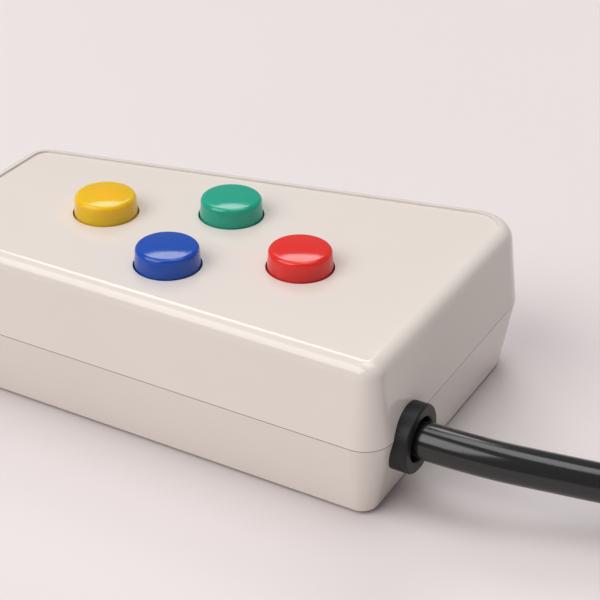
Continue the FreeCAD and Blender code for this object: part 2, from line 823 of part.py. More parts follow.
def pin_spots():
    for step in (-1.5, -0.5, 0.5, 1.5):
        yield ("header_x", "%s + %s * pin_pitch" % (HEADER_Y, step))


def make_board():
    body = new_body("circuit_board")
    sheet_outline = new_sketch(body, "board_outline", offset=BOARD_BOTTOM)
    left = "(button_centre_x - board_length / 2)"
    right = "(button_centre_x + board_length / 2)"
    low = "(%s - board_width / 2)" % BOARD_Y
    high = "(%s + board_width / 2)" % BOARD_Y
    corners = [(left, low), (right, low), (right, high), (left, high)]
    rounded_polygon(sheet_outline, corners, ["board_corner"] * 4)
    for spot in BOARD_SCREWS:
        circle(sheet_outline, spot, "board_screw_diameter + 2 * board_hole_gap")
    for spot in lead_spots():
        circle(sheet_outline, spot, "lead_hole")
    for spot in pin_spots():
        circle(sheet_outline, spot, "pin_hole")
    pad(body, "board_pad", sheet_outline, "board_thickness")
    nodes["circuit_board"] = body


def make_chip():
    body = new_body("controller_chip")
    outline = new_sketch(body, "chip_outline", offset="-chip_lead_thickness")
    rectangle(outline, "0", "0", "chip_length", "chip_width")
    pad(body, "chip_pad", outline, "chip_height", down=True)
    low = -size("chip_height + chip_lead_thickness")
    dress(body, "chip_bevel", "Chamfer", lambda edge: level(edge, low), "chip_chamfer")
    place(body, "chip_x", CHIP_Y, BOARD_BOTTOM)
    nodes["controller_chip"] = body

    leads = new_body("chip_leads")
    first = "(-(chip_lead_count - 1) / 2 * chip_lead_pitch - chip_lead_width / 2)"
    profile = new_sketch(leads, "gull_wing", role="YZ_Plane", offset=first)
    half = "(chip_width / 2)"
    knee = "(chip_lead_thickness + chip_height / 2)"
    bend = "(%s + chip_lead_reach / 2)" % half
    toe = "(%s + chip_lead_reach)" % half
    shoulder = "(%s - chip_lead_thickness)" % bend
    for side in (-1, 1):
        points = [(half, "-" + knee), (bend, "-" + knee), (bend, "-chip_lead_thickness"),
                  (toe, "-chip_lead_thickness"), (toe, "0"), (shoulder, "0"),
                  (shoulder, "chip_lead_thickness - %s" % knee),
                  (half, "chip_lead_thickness - %s" % knee)]
        polygon(profile, [("%d * %s" % (side, x), z) for x, z in points])
    wing = pad(leads, "gull_wing_pad", profile, "chip_lead_width")
    run = leads.newObject("PartDesign::LinearPattern", "gull_wing_row")
    run.Originals = [wing]
    run.Direction = (profile, ["N_Axis"])
    run.setExpression("Length", ref("(chip_lead_count - 1) * chip_lead_pitch"))
    run.setExpression("Occurrences", ref("chip_lead_count"))
    leads.Tip = run
    doc.recompute()
    place(leads, "chip_x", CHIP_Y, BOARD_BOTTOM)
    nodes["chip_leads"] = leads


def make_crystal():
    body = new_body("crystal")
    for name, length, width, height, start in (
            ("flange", "crystal_length", "crystal_width", "crystal_rim", "0"),
            ("can", "crystal_length - 2 * crystal_rim", "crystal_width - 2 * crystal_rim",
             "crystal_height - crystal_rim / 2", "-crystal_rim / 2")):
        outline = new_sketch(body, "crystal_" + name, offset=start)
        half_length = "((%s) / 2)" % length
        half_width = "((%s) / 2)" % width
        corners = [("-" + half_length, "-" + half_width), (half_length, "-" + half_width),
                   (half_length, half_width), ("-" + half_length, half_width)]
        rounded_polygon(outline, corners, ["0.96 * " + half_width] * 4)
        pad(body, "crystal_" + name + "_pad", outline, height, down=True)
    low = -size("crystal_height")
    dress(body, "crystal_edge", "Fillet", lambda edge: level(edge, low), "crystal_rim")
    place(body, "crystal_x", CRYSTAL_Y, BOARD_BOTTOM)
    nodes["crystal"] = body


def make_chip_parts(name, x, y, height, count):
    """A row of small surface parts: a block with slightly prouder end caps each."""
    body = new_body(name)
    blocks = new_sketch(body, name + "_blocks", offset=BOARD_BOTTOM)
    ends = new_sketch(body, name + "_ends", offset=BOARD_BOTTOM)
    for index in range(int(size(count))):
        spot = "(%s + %d * chip_part_pitch)" % (x, index)
        rectangle(blocks, spot, y, "chip_part_length", "chip_part_width")
        for side in (-1, 1):
            end = "%s + %d * (chip_part_length - end_cap_length) / 2" % (spot, side)
            rectangle(ends, end, y, "end_cap_length", "chip_part_width + 2 * end_cap_proud")
    pad(body, name + "_block_pads", blocks, height, down=True)
    pad(body, name + "_end_pads", ends, height + " + end_cap_proud", down=True)
    nodes[name] = body


def make_header():
    body = new_body("wire_header")
    block = new_sketch(body, "header_block", offset=BOARD_BOTTOM)
    rectangle(block, "header_x", HEADER_Y, "header_width", "header_length")
    pad(body, "header_pad", block, "header_height", down=True)
    hollow = new_sketch(body, "header_hollow", offset="%s - header_height" % BOARD_BOTTOM)
    rectangle(hollow, "header_x", HEADER_Y, "header_width - 2 * header_wall",
              "header_length - 2 * header_wall")
    pocket(body, "header_hollow_cut", hollow, "header_height - header_floor", up=True)
    slot = new_sketch(body, "header_slot", offset="%s - header_height" % BOARD_BOTTOM)
    for step in (-1, 1):
        rectangle(slot, "header_x + header_width / 2 - header_wall / 2",
                  "%s + %d * latch_from_middle" % (HEADER_Y, step), "2 * header_wall",
                  "latch_slot_width")
    pocket(body, "header_slot_cut", slot, "latch_slot_height", up=True)
    holes = new_sketch(body, "header_pin_holes", offset=BOARD_BOTTOM)
    for spot in pin_spots():
        rectangle(holes, spot[0], spot[1], "pin_side + 2 * peg_gap", "pin_side + 2 * peg_gap")
    pocket(body, "header_pin_cut", holes, "header_floor + peg_gap")
    nodes["wire_header"] = body

    pins = new_body("header_pins")
    rods = new_sketch(pins, "pin_rods", offset="%s + pin_proud" % BOARD_BOTTOM)
    for spot in pin_spots():
        rectangle(rods, spot[0], spot[1], "pin_side", "pin_side")
    pad(pins, "pin_pads", rods, "pin_length", down=True)
    nodes["header_pins"] = pins

    plug = new_body("wire_plug")
    top = "(%s - header_floor - plug_gap)" % BOARD_BOTTOM
    length = "(header_height - header_floor - plug_gap + plug_hang)"
    block = new_sketch(plug, "plug_block", offset=top)
    rectangle(block, "header_x", HEADER_Y, "header_width - 2 * header_wall - 2 * plug_gap",
              "header_length - 2 * header_wall - 2 * plug_gap")
    pad(plug, "plug_pad", block, length, down=True)
    sockets = new_sketch(plug, "plug_sockets", offset=top)
    for spot in pin_spots():
        rectangle(sockets, spot[0], spot[1], "pin_side + 2 * peg_gap", "pin_side + 2 * peg_gap")
    pocket(plug, "plug_socket_cut", sockets, "pin_length - pin_proud - header_floor")
    latches = new_sketch(plug, "plug_ribs", offset="%s - %s" % (top, length))
    for step in (-1, 1):
        rectangle(latches, "header_x + header_width / 2 - header_wall",
                  "%s + %d * latch_from_middle" % (HEADER_Y, step), "header_wall",
                  "latch_slot_width - 2 * latch_gap")
    pad(plug, "plug_rib_pads", latches, "header_height / 3 + plug_hang")
    nodes["wire_plug"] = plug


# Cable, from the inner wires to the plug

def smooth_path(points, radii):
    """Straight runs joined by tangent arcs, one radius for each inner point."""
    edges = []
    start = points[0]
    for index in range(1, len(points) - 1):
        corner = points[index]
        before = (points[index - 1] - corner).normalize()
        after = (points[index + 1] - corner).normalize()
        half = before.getAngle(after) / 2
        reach = radii[index - 1] / math.tan(half)
        middle = (before + after).normalize()
        centre = corner + middle * (radii[index - 1] / math.sin(half))
        entry = corner + before * reach
        leave = corner + after * reach
        edges.append(Part.LineSegment(start, entry).toShape())
        edges.append(Part.Arc(entry, centre - middle * radii[index - 1], leave).toShape())
        start = leave
    edges.append(Part.LineSegment(start, points[-1]).toShape())
    return Part.Wire(edges)


def free_radii(points):
    """The arc at each inner point, as large as its two runs allow."""
    radii = []
    for index in range(1, len(points) - 1):
        runs = [(points[index + step] - points[index]).Length for step in (-1, 1)]
        turn = (points[index] - points[index - 1]).getAngle(points[index + 1] - points[index])
        radii.append(ARC_SHARE * min(runs) / math.tan(turn / 2))
    return radii


def tube(path, diameter):
    """A round solid along a path, its volume compared with section times length."""
    first = path.OrderedEdges[0]
    start = first.valueAt(first.FirstParameter)
    ahead = first.tangentAt(first.FirstParameter)
    ring = Part.Wire([Part.makeCircle(diameter / 2, start, ahead)])
    shape = path.makePipeShell([ring], True, False)
    expected = math.pi * diameter ** 2 / 4 * path.Length
    print("tube length %.1f volume ratio %.4f" % (path.Length, shape.Volume / expected))
    return shape


def add_shape(name, shape):
    """A sub-part whose form is worked out here from the sheet's sizes."""
    thing = doc.addObject("Part::Feature", name)
    thing.Label = name
    thing.Shape = shape
    nodes[name] = thing
    return thing


def heading(degrees, length):
    angle = math.radians(degrees)
    return FreeCAD.Vector(length * math.cos(angle), length * math.sin(angle), 0)


def make_inner_cable():
    """The jacket's end inside the case and the four wires from it to the header plug."""
    jacket = new_body("cable_inner")
    ring = new_sketch(jacket, "jacket_section", role="YZ_Plane", offset="case_length / 2 - cable_start")
    circle(ring, (CABLE_Y, CABLE_Z), "cable_diameter")
    pad(jacket, "jacket_pad", ring, "cable_inner_length", down=True)
    nodes["cable_inner"] = jacket

    end_x = size("case_length / 2 - cable_start - cable_inner_length")
    plug_foot = size("%s - header_height - plug_hang" % BOARD_BOTTOM)
    spread = size("wire_spread")
    order = (("red", -1, 1), ("white", -1, -1), ("green", 1, -1), ("black", 1, 1))
    for (colour, side_y, side_z), spot in zip(order, pin_spots()):
        start = FreeCAD.Vector(end_x, size(CABLE_Y) + side_y * spread, size(CABLE_Z) + side_z * spread)
        end = FreeCAD.Vector(size(spot[0]), size(spot[1]), plug_foot)
        points = [start, start - FreeCAD.Vector(size("wire_lead_out"), 0, 0),
                  end - FreeCAD.Vector(0, 0, size("wire_rise")), end]
        path = smooth_path(points, [size("wire_bend")] * 2)
        add_shape("wire_" + colour, tube(path, size("wire_diameter")))


def make_grommet():
    """A rubber grommet whose two flanges lie against the slanted end wall inside and out."""
    form = new_body("grommet_form")
    profile = new_sketch(form, "grommet_profile", role="XZ_Plane")
    wall_face = "(case_length / 2)"
    inner_face = "(case_length / 2 - wall)"
    bore = "grommet_bore / 2"
    neck = "(grommet_hole / 2 - grommet_neck_gap)"
    points = [("%s - grommet_inner_thickness" % inner_face, bore),
              ("%s - grommet_inner_thickness" % inner_face, "grommet_inner_flange / 2"),
              (inner_face, "grommet_inner_flange / 2"),
              (inner_face, neck),
              ("%s - grommet_into_wall" % wall_face, neck),
              ("%s - grommet_into_wall" % wall_face, "grommet_flange / 2"),
              ("%s + grommet_proud" % wall_face, "grommet_flange / 2"),
              ("%s + grommet_proud" % wall_face, bore)]
    polygon(profile, points)
    revolve(form, "grommet_turned", profile, axis="H_Axis")
    outer_face = size("case_length / 2 + grommet_proud")
    dress(form, "grommet_edges", "Fillet",
          lambda edge: abs(edge.BoundBox.XMin - outer_face) < 1e-4 and edge.BoundBox.XLength < 1e-4,
          "grommet_round")
    place(form, y=CABLE_Y, z=CABLE_Z)
    doc.recompute()
    result = form
    for shell in ("bottom_shell", "top_shell"):
        cut = doc.addObject("Part::Cut", "grommet_less_" + shell)
        cut.Base = result
        cut.Tool = nodes[shell]
        result = cut
    result.Label = "cable_grommet"
    doc.recompute()
    nodes["cable_grommet"] = result


def make_grip():
    """A tie drawn tight round the jacket inside the wall, with its head on top."""
    body = new_body("cable_grip")
    start = "case_length / 2 - wall - grommet_inner_thickness - grip_setback"
    band = new_sketch(body, "grip_band", role="YZ_Plane", offset=start)
    circle(band, (CABLE_Y, CABLE_Z), "cable_diameter + 2 * grip_gap + 2 * grip_thickness")
    pad(body, "grip_band_pad", band, "grip_width")
    head_start = "%s - (grip_head_width - grip_width) / 2" % start
    head = new_sketch(body, "grip_head_block", role="YZ_Plane", offset=head_start)
    rectangle(head, CABLE_Y, "%s + cable_diameter / 2 + grip_head / 2" % CABLE_Z, "grip_head", "grip_head")
    pad(body, "grip_head_pad", head, "grip_head_width")
    bore = new_sketch(body, "grip_bore", role="YZ_Plane", offset="%s + 2 * grip_width" % start)
    circle(bore, (CABLE_Y, CABLE_Z), "cable_diameter + 2 * grip_gap")
    pocket(body, "grip_bore_cut", bore, "4 * grip_width")
    nodes["cable_grip"] = body


# The cable's route on the open surface: places that its middle line turns at, chosen by hand
CABLE_POINTS = [(80.0, -17.75, 11.6), (96.0, -11.45, 9.1), (109.2, -10.9, 6.3)]
# The share of the shorter run that an arc between two runs takes up
ARC_SHARE = 0.45


def coil_frame():
    """Where the coil is entered, its travelling direction and its sideways direction."""
    height = size("cable_diameter / 2 + coil_lift")
    entry = FreeCAD.Vector(size("coil_entry_x"), size("coil_entry_y"), height)
    ahead = heading(size("coil_heading"), 1)
    left = FreeCAD.Vector(-ahead.y, ahead.x, 0)
    return entry, ahead, left


def coil_turns():
    """The radius and rise of each half turn: in, out and in again, with a climb at each change."""
    pitch = size(COIL_PITCH)
    outer = size("coil_outer_radius")
    count = int(size("coil_half_turns"))
    inner = outer - count * pitch / 2
    flat = [outer - index * pitch / 2 for index in range(count)]
    # the last climb also lifts the cable so that the plug's hood clears the turns under it
    last_rise = pitch + size("(hood_height - cable_diameter) / 2")
    turns = [(bend, 0.0) for bend in flat] + [(inner, pitch)]
    turns += [(bend, 0.0) for bend in reversed(flat[1:])] + [(outer, pitch)]
    turns += [(bend, 0.0) for bend in flat[1:]] + [(inner, last_rise)]
    return turns


def coil_path():
    """A spiral of half turns in three layers, with a part turn on top that leads to the plug."""
    entry, ahead, left = coil_frame()
    up = FreeCAD.Vector(0, 0, 1)
    spot = entry + ahead * size("coil_lead_in")
    edges = [Part.LineSegment(entry, spot).toShape()]
    for bend, rise in coil_turns():
        centre = spot + left * bend
        far = spot + left * (2 * bend) + up * rise
        if rise:
            reach = math.sqrt(bend ** 2 + rise ** 2 / 4)
            middle = centre + ahead * reach + up * (rise / 2)
            edges.append(arc_from_tangent(spot, ahead, middle))
            edges.append(arc_from_tangent(far, ahead, middle, backward=True))
        else:
            edges.append(Part.Arc(spot, centre + ahead * bend, far).toShape())
        spot = far
        ahead = ahead * -1
        left = left * -1
    bend = size("coil_outer_radius - (coil_half_turns - 1) * %s / 2" % COIL_PITCH)
    turn = math.radians(size("coil_last_turn"))
    centre = spot + left * bend
    on_arc = [
        centre + (ahead * math.sin(angle) - left * math.cos(angle)) * bend
        for angle in (turn / 2, turn)
    ]
    edges.append(Part.Arc(spot, *on_arc).toShape())
    ahead = ahead * math.cos(turn) + left * math.sin(turn)
    end = on_arc[-1] + ahead * size("coil_lead_out")
    edges.append(Part.LineSegment(on_arc[-1], end).toShape())
    return Part.Wire(edges), end, ahead


def arc_from_tangent(start, direction, end, backward=False):
    """The arc that leaves a point in a direction and reaches another point."""
    chord = end - start
    share = direction.dot(chord) / chord.Length
    across = chord - direction * direction.dot(chord)
    radius = chord.Length ** 2 / (2 * across.Length)
    centre = start + across.normalize() * radius
    middle = ((start - centre) + (end - centre)).normalize() * radius + centre
    if share < 0:
        raise RuntimeError("the arc would turn back")
    if backward:
        return Part.Arc(end, middle, start).toShape()
    return Part.Arc(start, middle, end).toShape()


def least_gap(path, diameter):
    """The smallest space between two turns, measured on points along the middle line."""
    spacing = diameter / POINTS_PER_WIDTH
    points = path.discretize(Number=int(path.Length / spacing))
    skip = round(WIDTHS_APART * POINTS_PER_WIDTH)
    nearest = min(
        points[first].distanceToPoint(other)
        for first in range(len(points))
        for other in points[first + skip:]
    )
    return nearest - diameter


def cable_route():
    """The free stretch from the grommet's bore to the coil, as hand-chosen points."""
    entry, ahead, left = coil_frame()
    start = FreeCAD.Vector(size("case_length / 2 - cable_start"), size(CABLE_Y), size(CABLE_Z))
    run_out = start + FreeCAD.Vector(size("cable_run_out"), 0, 0)
    run_in = entry - ahead * size("coil_run_in")
    return [start, run_out] + [FreeCAD.Vector(*point) for point in CABLE_POINTS] + [run_in, entry]


def make_free_cable():
    """The free stretch and the coil. The answer is where the coil ends and which way it points."""
    diameter = size("cable_diameter")
    route = cable_route()
    radii = free_radii(route)
    print("cable radii", [round(radius, 1) for radius in radii])
    add_shape("cable", tube(smooth_path(route, radii), diameter))
    path, end, ahead = coil_path()
    print("coil length %.1f least gap %.2f" % (path.Length, least_gap(path, diameter)))
    add_shape("cable_coil", tube(path, diameter))
    return end, ahead


def make_coil_tie():
    """A flat band round all the turns, square to them, where the cable runs into the coil."""
    entry, ahead, left = coil_frame()
    centre = entry + ahead * size("coil_lead_in")
    half_cable = size("cable_diameter / 2")
    gap = size("tie_gap")
    band = size("tie_thickness")
    width = size("tie_width")
    depth = size("coil_half_turns * %s / 2" % COIL_PITCH)
    # the innermost turn curves towards the middle within the band's width
    inside = size("coil_outer_radius") - depth - half_cable
    curve = inside - math.sqrt(inside ** 2 - width ** 2 / 4)
    span = depth + 2 * half_cable + 2 * gap + curve
    rise = size("2 * %s + cable_diameter" % COIL_PITCH) + 2 * gap
    up = FreeCAD.Vector(0, 0, 1)
    near = centre - left * (half_cable + gap) - up * (half_cable + gap) - ahead * (width / 2)

    def slab(grow):
        corner = near - (left + up) * grow
        across = left * (span + 2 * grow)
        tall = up * (rise + 2 * grow)
        corners = [corner, corner + across, corner + across + tall, corner + tall]
        outline = Part.makePolygon(corners + corners[:1])
        block = Part.Face(outline).extrude(ahead * width)
        lengthwise = [
            edge for edge in block.Edges
            if abs(edge.tangentAt(edge.FirstParameter).dot(ahead)) > ALIGNED
        ]
        return block.makeFillet(size("tie_bend") + grow, lengthwise)

    add_shape("coil_tie", slab(band).cut(slab(0.0)))


def make_plug(start, ahead):
    """The plug's moulded hood, metal shell, tongue and contacts, in line with the cable's end."""
    turn = FreeCAD.Rotation(FreeCAD.Vector(1, 0, 0), ahead)

    def settle(thing):
        thing.Placement = FreeCAD.Placement(start, turn)

    hood = new_body("plug_hood")
    sections = []
    for name, offset, width, height, corner in (
            ("neck", "0", "hood_neck", "hood_height", "hood_neck_round"),
            ("shoulder", "hood_nose", "hood_width", "hood_height", "hood_round"),
            ("face", "hood_length", "hood_width", "hood_height", "hood_round")):
        section = new_sketch(hood, "hood_" + name, role="YZ_Plane", offset=offset)
        half_width = "(%s) / 2" % width
        half_height = "(%s) / 2" % height
        corners = [("-" + half_width, "-" + half_height), (half_width, "-" + half_height),
                   (half_width, half_height), ("-" + half_width, half_height)]
        rounded_polygon(section, corners, [corner] * 4)
        sections.append(section)
    loft(hood, "hood_form", sections)
    seat = new_sketch(hood, "hood_seat", role="YZ_Plane", offset="hood_length")
    rectangle(seat, "0", "0", "shell_width + 2 * tongue_gap", "shell_height + 2 * tongue_gap")
    pocket(hood, "hood_seat_cut", seat, "shell_sink + tongue_gap")
    settle(hood)
    nodes["plug_hood"] = hood

    shell = new_body("plug_shell")
    section = new_sketch(shell, "shell_section", role="YZ_Plane", offset="hood_length - shell_sink")
    rectangle(section, "0", "0", "shell_width", "shell_height")
    rectangle(section, "0", "0", "shell_width - 2 * shell_wall", "shell_height - 2 * shell_wall")
    pad(shell, "shell_pad", section, "shell_length")
    windows = new_sketch(shell, "shell_windows", offset="shell_height")
    for side in (-1, 1):
        rectangle(windows, "hood_length - shell_sink + shell_length - shell_window_from_tip",
                  "%d * shell_window_pitch / 2" % side, "shell_window", "shell_window")
    pocket(shell, "shell_window_cut", windows, "2 * shell_height")
    settle(shell)
    nodes["plug_shell"] = shell

    tongue = new_body("plug_tongue")
    section = new_sketch(tongue, "tongue_section", role="YZ_Plane", offset="hood_length - shell_sink")
    inner_width = "(shell_width - 2 * shell_wall - 2 * tongue_gap)"
    rectangle(section, "0", "shell_height / 2 - shell_wall - tongue_gap - tongue_thickness / 2",
              inner_width, "tongue_thickness")
    pad(tongue, "tongue_pad", section, "tongue_length")
    settle(tongue)
    nodes["plug_tongue"] = tongue

    contacts = new_body("plug_contacts")
    face = "shell_height / 2 - shell_wall - tongue_gap - tongue_thickness"
    strips = new_sketch(contacts, "contact_strips", offset=face)
    count = int(size("contact_count"))
    for index in range(count):
        middle = "(%d - (contact_count - 1) / 2) * contact_pitch" % index
        along = "hood_length - shell_sink + tongue_length - contact_setback - contact_length / 2"
        rectangle(strips, along, middle, "contact_length", "contact_width")
    pad(contacts, "contact_pads", strips, "contact_thickness", down=True)
    settle(contacts)
    nodes["plug_contacts"] = contacts


def check_document():
    """Every feature has recomputed and every sub-part is a sound solid."""
    for thing in doc.Objects:
        if "Invalid" in thing.State or "Error" in thing.State:
            raise RuntimeError("%s is %s" % (thing.Name, thing.State))
    for name, thing in nodes.items():
        shape = thing.Shape
        if shape.isNull() or not shape.isValid() or not shape.Solids:
            raise RuntimeError(name + " has no valid solid")
        print("%-24s solids %2d volume %9.1f" % (name, len(shape.Solids), shape.Volume))


make_top_shell()
make_bottom_shell()
make_feet()
make_screws("case_screws", CASE_SCREWS, SCREW_SEAT, "screw_head_diameter", "screw_head_height",
            "screw_diameter", "screw_length", "drive_width", "drive_depth", "drive_slot")
make_screws("board_screws", BOARD_SCREWS, BOARD_BOTTOM, "board_screw_head", "board_screw_head_height",
            "board_screw_diameter", "board_screw_length", "board_drive_width", "board_drive_depth",
            "board_drive_slot")
for colour, spot in BUTTONS.items():
    make_cap(colour, spot)
    make_switch(colour, spot)
make_switch_leads()
make_board()
make_chip()
make_crystal()
make_chip_parts("capacitors", "capacitor_x", CAPACITOR_Y, "capacitor_height", "capacitor_count")
make_chip_parts("resistors", "resistor_x", RESISTOR_Y, "resistor_height", "resistor_count")
make_header()
make_inner_cable()
make_grommet()
make_grip()
cable_end, cable_heading = make_free_cable()
make_coil_tie()
make_plug(cable_end, cable_heading)
doc.recompute()
check_document()

os.makedirs("parts", exist_ok=True)
for name, thing in nodes.items():
    thing.Shape.exportStep("parts/%s.step" % name)
print("nodes", len(nodes))
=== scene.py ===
import bisect
import json
import math

import bmesh
import bpy
from mathutils import Matrix, Vector


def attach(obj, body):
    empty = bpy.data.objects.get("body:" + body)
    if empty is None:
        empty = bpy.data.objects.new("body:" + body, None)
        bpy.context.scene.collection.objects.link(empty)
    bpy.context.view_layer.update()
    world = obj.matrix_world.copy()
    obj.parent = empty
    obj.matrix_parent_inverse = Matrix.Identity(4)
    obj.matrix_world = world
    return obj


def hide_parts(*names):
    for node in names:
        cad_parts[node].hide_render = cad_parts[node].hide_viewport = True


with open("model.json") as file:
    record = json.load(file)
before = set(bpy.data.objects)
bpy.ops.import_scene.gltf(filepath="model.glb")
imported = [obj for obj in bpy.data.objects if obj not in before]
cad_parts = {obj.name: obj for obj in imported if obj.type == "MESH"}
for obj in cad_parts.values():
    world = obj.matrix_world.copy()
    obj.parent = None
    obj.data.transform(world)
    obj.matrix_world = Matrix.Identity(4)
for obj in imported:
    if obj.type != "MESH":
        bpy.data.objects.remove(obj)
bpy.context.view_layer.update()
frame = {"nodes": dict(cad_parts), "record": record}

scene = bpy.context.scene
nodes = frame["nodes"]

# Lengths are in millimetres, as in the part's source, except where a comment says metres
MM = 0.001


def add_object(name, data):
    thing = bpy.data.objects.new(name, data)
    scene.collection.objects.link(thing)
    return thing


# The camera, solved from the photo's four button holes and the case's edges

IMAGE_SIZE = 600
FOCAL_PIXELS = 1665.59
SENSOR_WIDTH = 36.0
CAMERA_SPOT = Vector((151.26, -242.49, 182.48)) * MM
CAMERA_TURN = math.radians(-28.64)
CAMERA_PITCH = math.radians(30.5775)
CAMERA_ROLL = math.radians(0.769)
CLIP_NEAR = 10.0
CLIP_FAR = 20000.0


def make_camera():
    across = Vector((math.cos(CAMERA_TURN), -math.sin(CAMERA_TURN), 0))
    level = Vector((math.sin(CAMERA_TURN), math.cos(CAMERA_TURN), 0))
    ahead = level * math.cos(CAMERA_PITCH) - Vector((0, 0, math.sin(CAMERA_PITCH)))
    up = across.cross(ahead)
    right = across * math.cos(CAMERA_ROLL) + up * math.sin(CAMERA_ROLL)
    top = up * math.cos(CAMERA_ROLL) - across * math.sin(CAMERA_ROLL)
    data = bpy.data.cameras.new("camera")
    data.sensor_width = SENSOR_WIDTH
    data.lens = SENSOR_WIDTH * FOCAL_PIXELS / IMAGE_SIZE
    data.clip_start = CLIP_NEAR * MM
    data.clip_end = CLIP_FAR * MM
    camera = add_object("camera", data)
    camera.matrix_world = Matrix((
        (right.x, top.x, -ahead.x, CAMERA_SPOT.x),
        (right.y, top.y, -ahead.y, CAMERA_SPOT.y),
        (right.z, top.z, -ahead.z, CAMERA_SPOT.z),
        (0, 0, 0, 1),
    ))
    scene.camera = camera


# Helpers for materials, which are node trees over each object's own coordinates

NOISE_LOW = 0.3
NOISE_HIGH = 0.7
CLOUD_DETAIL = 4
GRAIN_DETAIL = 2
SWELL_DETAIL = 1


def put(node, socket, value):
    node.inputs[socket].default_value = value


def start_material(name):
    material = bpy.data.materials.new(name)
    material.use_nodes = True
    tree = material.node_tree
    place = tree.nodes.new("ShaderNodeTexCoord").outputs["Object"]
    return material, tree, tree.nodes["Principled BSDF"], place


def noise(tree, place, size, detail):
    """Noise whose features are about `size` across."""
    node = tree.nodes.new("ShaderNodeTexNoise")
    put(node, "Scale", 1 / (size * MM))
    put(node, "Detail", detail)
    tree.links.new(place, node.inputs["Vector"])
    return node.outputs["Fac"]


def stretched(tree, place, scale):
    node = tree.nodes.new("ShaderNodeMapping")
    put(node, "Scale", scale)
    tree.links.new(place, node.inputs["Vector"])
    return node.outputs["Vector"]


def spread(tree, value, low, high):
    """Noise, which keeps to the middle of its range, spread from low to high."""
    node = tree.nodes.new("ShaderNodeMapRange")
    put(node, "From Min", NOISE_LOW)
    put(node, "From Max", NOISE_HIGH)
    put(node, "To Min", low)
    put(node, "To Max", high)
    tree.links.new(value, node.inputs["Value"])
    return node.outputs["Result"]


def colour_sockets(sockets):
    """The colour ones among a mix node's sockets, which it also has for numbers and vectors."""
    return [socket for socket in sockets if socket.type == "RGBA"]


def mix(tree, factor, first, second):
    """A blend of two colours, each of them a tuple or another node's output."""
    node = tree.nodes.new("ShaderNodeMix")
    node.data_type = "RGBA"
    tree.links.new(factor, node.inputs["Factor"])
    for target, value in zip(colour_sockets(node.inputs), (first, second)):
        if isinstance(value, bpy.types.NodeSocket):
            tree.links.new(value, target)
        else:
            target.default_value = (*value, 1)
    return colour_sockets(node.outputs)[0]


def bump(tree, height, depth, onto=None):
    node = tree.nodes.new("ShaderNodeBump")
    put(node, "Distance", depth * MM)
    tree.links.new(height, node.inputs["Height"])
    if onto is not None:
        tree.links.new(onto, node.inputs["Normal"])
    return node.outputs["Normal"]


def shade(colour, factor):
    return tuple(min(1.0, channel * factor) for channel in colour)


# Moulded plastic, rubber and turned or stamped metal

# The joint between the shells is drawn as a line of painted shade, a band of darker colour that
# stands for the shadow in its groove.
SEAM_WIDTH = 0.18
SEAM_SHADE_COLOUR = (0.33, 0.25, 0.17)
GLOSS_CHANGE = 0.12
SWELL_SIZE = 9.0
GLOW_DEPTH = 4.0


def seam_shade_line(tree, place, height):
    """1 on the line of painted shade along the joint between the shells, which runs level round the
    case, else 0.
    """
    split = tree.nodes.new("ShaderNodeSeparateXYZ")
    tree.links.new(place, split.inputs["Vector"])
    compare = tree.nodes.new("ShaderNodeMath")
    compare.operation = "COMPARE"
    here, wanted, margin = compare.inputs
    tree.links.new(split.outputs["Z"], here)
    wanted.default_value = height * MM
    margin.default_value = SEAM_WIDTH / 2 * MM
    return compare.outputs["Value"]


def moulded(name, colour, roughness, mottle=0.03, mottle_size=12.0, grain_size=0.35,
            grain_depth=0.004, swell_depth=0.0, shine=0.5, metal=0.0, inside=0.0,
            brushed=None, seam=None):
    """A moulded or turned finish: cloudy colour, uneven gloss and a fine grain.

    `inside` is the share of light that spreads under the surface, `brushed` stretches the grain
    by axis, and `seam` is the height of the joint, drawn as a line of painted shade.
    """
    material, tree, shader, place = start_material(name)
    cloud = noise(tree, place, mottle_size, CLOUD_DETAIL)
    dark = shade(colour, 1 - mottle)
    light = shade(colour, 1 + mottle)
    tint = mix(tree, spread(tree, cloud, 0, 1), dark, light)
    # Painted shade: the joint's line is darkened to stand for the shadow in its groove.
    if seam is not None:
        tint = mix(tree, seam_shade_line(tree, place, seam), tint, SEAM_SHADE_COLOUR)
    tree.links.new(tint, shader.inputs["Base Color"])
    field = place if brushed is None else stretched(tree, place, brushed)
    grain = noise(tree, field, grain_size, GRAIN_DETAIL)
    smooth = roughness * (1 - GLOSS_CHANGE)
    dull = roughness * (1 + GLOSS_CHANGE)
    tree.links.new(spread(tree, grain, smooth, dull), shader.inputs["Roughness"])
    normal = bump(tree, grain, grain_depth)
    if swell_depth:
        swell = noise(tree, place, SWELL_SIZE, SWELL_DETAIL)
        normal = bump(tree, swell, swell_depth, onto=normal)
    tree.links.new(normal, shader.inputs["Normal"])
    put(shader, "Metallic", metal)
    put(shader, "Specular IOR Level", shine)
    if inside:
        put(shader, "Subsurface Weight", inside)
        put(shader, "Subsurface Radius", colour)
        put(shader, "Subsurface Scale", GLOW_DEPTH * MM)
    return material


# The circuit board's laminate

BLACK_PAINT = (0, 0, 0, 1)
WHITE_PAINT = (1, 1, 1, 1)
MASK_COLOUR = (0.012, 0.13, 0.05)
MASK_GRAIN_SIZE = 0.4
MASK_GRAIN_DEPTH = 0.004
MASK_SMOOTHEST = 0.28
MASK_DULLEST = 0.4
TRACK_COLOUR = (0.03, 0.24, 0.09)
TRACK_PITCH = 9.0
TRACK_SHARE = 0.045
TRACK_SOFTNESS = 0.2
TRACK_HEIGHT = 0.03


